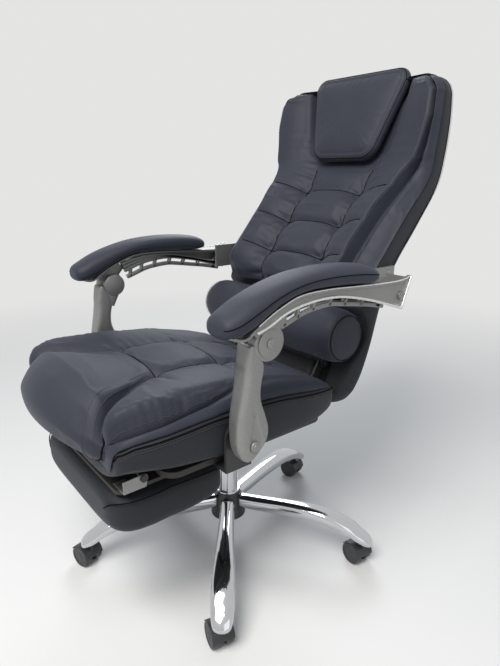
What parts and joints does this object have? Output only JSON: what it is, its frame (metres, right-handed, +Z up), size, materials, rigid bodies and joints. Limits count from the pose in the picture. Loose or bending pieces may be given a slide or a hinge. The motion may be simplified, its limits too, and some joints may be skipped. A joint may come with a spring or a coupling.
{
  "type": "reclining office chair",
  "caption": "Padded swivel chair with a reclining tufted back, linked arms and a footrest that slides out and folds over.",
  "frame": {"origin": "on the floor, on the column's axis", "axes": "+Z up along the column, -Y the way the sitter faces, +X the sitter's left"},
  "size_m": [0.726, 0.9299, 1.1418],
  "materials": {
    "chrome": "polished chrome plate",
    "hub_plastic": "satin black moulded cover",
    "caster_plastic": "dark moulded nylon",
    "wheel_plastic": "hard dark tread",
    "pin_steel": "turned steel",
    "lift_black": "black painted cylinder",
    "mechanism_black": "black powder coat",
    "plywood": "bare plywood",
    "leather": "black upholstery leather, soft sheen",
    "leather_side": "black upholstery leather, side panels",
    "arm_silver": "silver grey metallic lacquer on moulded plastic",
    "lever_plastic": "black moulded lever",
    "bright_steel": "bright plated steel"
  },
  "bodies": {
    "base": {"base_hub": "hub_plastic", "base_leg_1": "chrome", "base_leg_2": "chrome", "base_leg_3": "chrome", "base_leg_4": "chrome", "base_leg_5": "chrome", "lift_outer_tube": "chrome", "lift_guide_bush": "hub_plastic", "lift_thrust_bearing": "pin_steel"},
    "caster_1": {"caster_1_housing": "caster_plastic", "caster_1_pins": "pin_steel"},
    "caster_1_wheel_left": {"caster_1_wheel_left": "wheel_plastic"},
    "caster_1_wheel_right": {"caster_1_wheel_right": "wheel_plastic"},
    "caster_2": {"caster_2_housing": "caster_plastic", "caster_2_pins": "pin_steel"},
    "caster_2_wheel_left": {"caster_2_wheel_left": "wheel_plastic"},
    "caster_2_wheel_right": {"caster_2_wheel_right": "wheel_plastic"},
    "caster_3": {"caster_3_housing": "caster_plastic", "caster_3_pins": "pin_steel"},
    "caster_3_wheel_left": {"caster_3_wheel_left": "wheel_plastic"},
    "caster_3_wheel_right": {"caster_3_wheel_right": "wheel_plastic"},
    "caster_4": {"caster_4_housing": "caster_plastic", "caster_4_pins": "pin_steel"},
    "caster_4_wheel_left": {"caster_4_wheel_left": "wheel_plastic"},
    "caster_4_wheel_right": {"caster_4_wheel_right": "wheel_plastic"},
    "caster_5": {"caster_5_housing": "caster_plastic", "caster_5_pins": "pin_steel"},
    "caster_5_wheel_left": {"caster_5_wheel_left": "wheel_plastic"},
    "caster_5_wheel_right": {"caster_5_wheel_right": "wheel_plastic"},
    "lift_rod": {"lift_rod": "pin_steel"},
    "seat": {"lift_cylinder": "lift_black", "mechanism_housing": "mechanism_black", "seat_pan": "plywood", "seat_base": "leather_side", "seat_topper": "leather", "hinge_plates": "mechanism_black", "hinge_shaft": "pin_steel", "arm_brackets": "mechanism_black", "footrest_rails": "mechanism_black", "seat_bolts": "pin_steel"},
    "height_lever": {"height_lever": "lever_plastic"},
    "recline_lock_lever": {"recline_lock_lever": "lever_plastic"},
    "back": {"back_frame": "mechanism_black", "back_box": "leather_side", "back_topper": "leather", "headrest": "leather", "lumbar_bolster": "leather", "arm_ears": "bright_steel"},
    "post_left": {"arm_post_left": "arm_silver"},
    "arm_left": {"arm_frame_left": "arm_silver", "arm_pad_left": "leather", "elbow_pin_left": "arm_silver"},
    "post_right": {"arm_post_right": "arm_silver"},
    "arm_right": {"arm_frame_right": "arm_silver", "arm_pad_right": "leather", "elbow_pin_right": "arm_silver"},
    "footrest_slide": {"footrest_slider": "bright_steel"},
    "footrest": {"footrest_board": "plywood", "footrest_brackets": "bright_steel", "footrest_pad": "leather"}
  },
  "joints": [
    {"name": "caster_1_swivel", "type": "hinge", "parent": "base", "child": "caster_1", "pos_m": [0.26963, -0.21524, 0], "axis": [0, 0, 1], "continuous": true},
    {"name": "caster_1_roll_left", "type": "hinge", "parent": "caster_1", "child": "caster_1_wheel_left", "pos_m": [0.25224, -0.21058, 0.026], "axis": [-0.2588, -0.9659, 0], "continuous": true},
    {"name": "caster_1_roll_right", "type": "hinge", "parent": "caster_1", "child": "caster_1_wheel_right", "pos_m": [0.25224, -0.21058, 0.026], "axis": [-0.2588, -0.9659, 0], "continuous": true},
    {"name": "caster_2_swivel", "type": "hinge", "parent": "base", "child": "caster_2", "pos_m": [0.28802, 0.18992, 0], "axis": [0, 0, 1], "continuous": true},
    {"name": "caster_2_roll_left", "type": "hinge", "parent": "caster_2", "child": "caster_2_wheel_left", "pos_m": [0.27012, 0.1918, 0.026], "axis": [-0.1045, -0.9945, 0], "continuous": true},
    {"name": "caster_2_roll_right", "type": "hinge", "parent": "caster_2", "child": "caster_2_wheel_right", "pos_m": [0.27012, 0.1918, 0.026], "axis": [-0.1045, -0.9945, 0], "continuous": true},
    {"name": "caster_3_swivel", "type": "hinge", "parent": "base", "child": "caster_3", "pos_m": [-0.09162, 0.33261, 0], "axis": [0, 0, 1], "continuous": true},
    {"name": "caster_3_roll_left", "type": "hinge", "parent": "caster_3", "child": "caster_3_wheel_left", "pos_m": [-0.10916, 0.32856, 0.026], "axis": [0.225, -0.9744, 0], "continuous": true},
    {"name": "caster_3_roll_right", "type": "hinge", "parent": "caster_3", "child": "caster_3_wheel_right", "pos_m": [-0.10916, 0.32856, 0.026], "axis": [0.225, -0.9744, 0], "continuous": true},
    {"name": "caster_4_swivel", "type": "hinge", "parent": "base", "child": "caster_4", "pos_m": [-0.34464, 0.01565, 0], "axis": [0, 0, 1], "continuous": true},
    {"name": "caster_4_roll_left", "type": "hinge", "parent": "caster_4", "child": "caster_4_wheel_left", "pos_m": [-0.36258, 0.01408, 0.026], "axis": [0.0872, -0.9962, 0], "continuous": true},
    {"name": "caster_4_roll_right", "type": "hinge", "parent": "caster_4", "child": "caster_4_wheel_right", "pos_m": [-0.36258, 0.01408, 0.026], "axis": [0.0872, -0.9962, 0], "continuous": true},
    {"name": "caster_5_swivel", "type": "hinge", "parent": "base", "child": "caster_5", "pos_m": [-0.12139, -0.32294, 0], "axis": [0, 0, 1], "continuous": true},
    {"name": "caster_5_roll_left", "type": "hinge", "parent": "caster_5", "child": "caster_5_wheel_left", "pos_m": [-0.13877, -0.3276, 0.026], "axis": [0.2588, -0.9659, 0], "continuous": true},
    {"name": "caster_5_roll_right", "type": "hinge", "parent": "caster_5", "child": "caster_5_wheel_right", "pos_m": [-0.13877, -0.3276, 0.026], "axis": [0.2588, -0.9659, 0], "continuous": true},
    {"name": "seat_swivel", "type": "hinge", "parent": "base", "child": "lift_rod", "pos_m": [0, 0, 0.07], "axis": [0, 0, 1], "continuous": true},
    {"name": "seat_height", "type": "slide", "parent": "lift_rod", "child": "seat", "axis": [0, 0, 1], "range_m": [0, 0.08]},
    {"name": "height_lever", "type": "hinge", "parent": "seat", "child": "height_lever", "pos_m": [-0.085, 0.02, 0.368], "axis": [0, 1, 0], "range_deg": [0, 6], "stiffness_Nm_per_rad": 2, "springref_deg": -17.19},
    {"name": "recline_lock_lever", "type": "hinge", "parent": "seat", "child": "recline_lock_lever", "pos_m": [-0.085, -0.066, 0.368], "axis": [0, 1, 0], "range_deg": [0, 6], "stiffness_Nm_per_rad": 2, "springref_deg": -17.19},
    {"name": "recline", "type": "hinge", "parent": "seat", "child": "back", "pos_m": [0, 0.175, 0.492], "axis": [-1, 0, 0], "range_deg": [0, 25]},
    {"name": "post_left_swing", "type": "hinge", "parent": "seat", "child": "post_left", "pos_m": [0.297, -0.171, 0.46], "axis": [-1, 0, 0], "range_deg": [0, 25]},
    {"name": "elbow_left", "type": "hinge", "parent": "post_left", "child": "arm_left", "pos_m": [0.297, -0.141, 0.643], "axis": [-1, 0, 0], "range_deg": [-25, 0]},
    {"name": "post_right_swing", "type": "hinge", "parent": "seat", "child": "post_right", "pos_m": [-0.297, -0.171, 0.46], "axis": [-1, 0, 0], "range_deg": [0, 25]},
    {"name": "elbow_right", "type": "hinge", "parent": "post_right", "child": "arm_right", "pos_m": [-0.297, -0.141, 0.643], "axis": [-1, 0, 0], "range_deg": [-25, 0]},
    {"name": "footrest_slide", "type": "slide", "parent": "seat", "child": "footrest_slide", "axis": [0, -1, 0], "range_m": [0, 0.22]},
    {"name": "footrest_flip", "type": "hinge", "parent": "footrest_slide", "child": "footrest", "pos_m": [0, -0.322, 0.3945], "axis": [-1, 0, 0], "range_deg": [0, 180]}
  ],
  "couplings": [
    {"joint": "post_left_swing", "follows": "recline", "ratio": 1},
    {"joint": "elbow_left", "follows": "recline", "ratio": -1},
    {"joint": "post_right_swing", "follows": "recline", "ratio": 1},
    {"joint": "elbow_right", "follows": "recline", "ratio": -1},
    {"joint": "footrest_flip", "follows": "footrest_slide", "rad_per_m": 14.28}
  ]
}
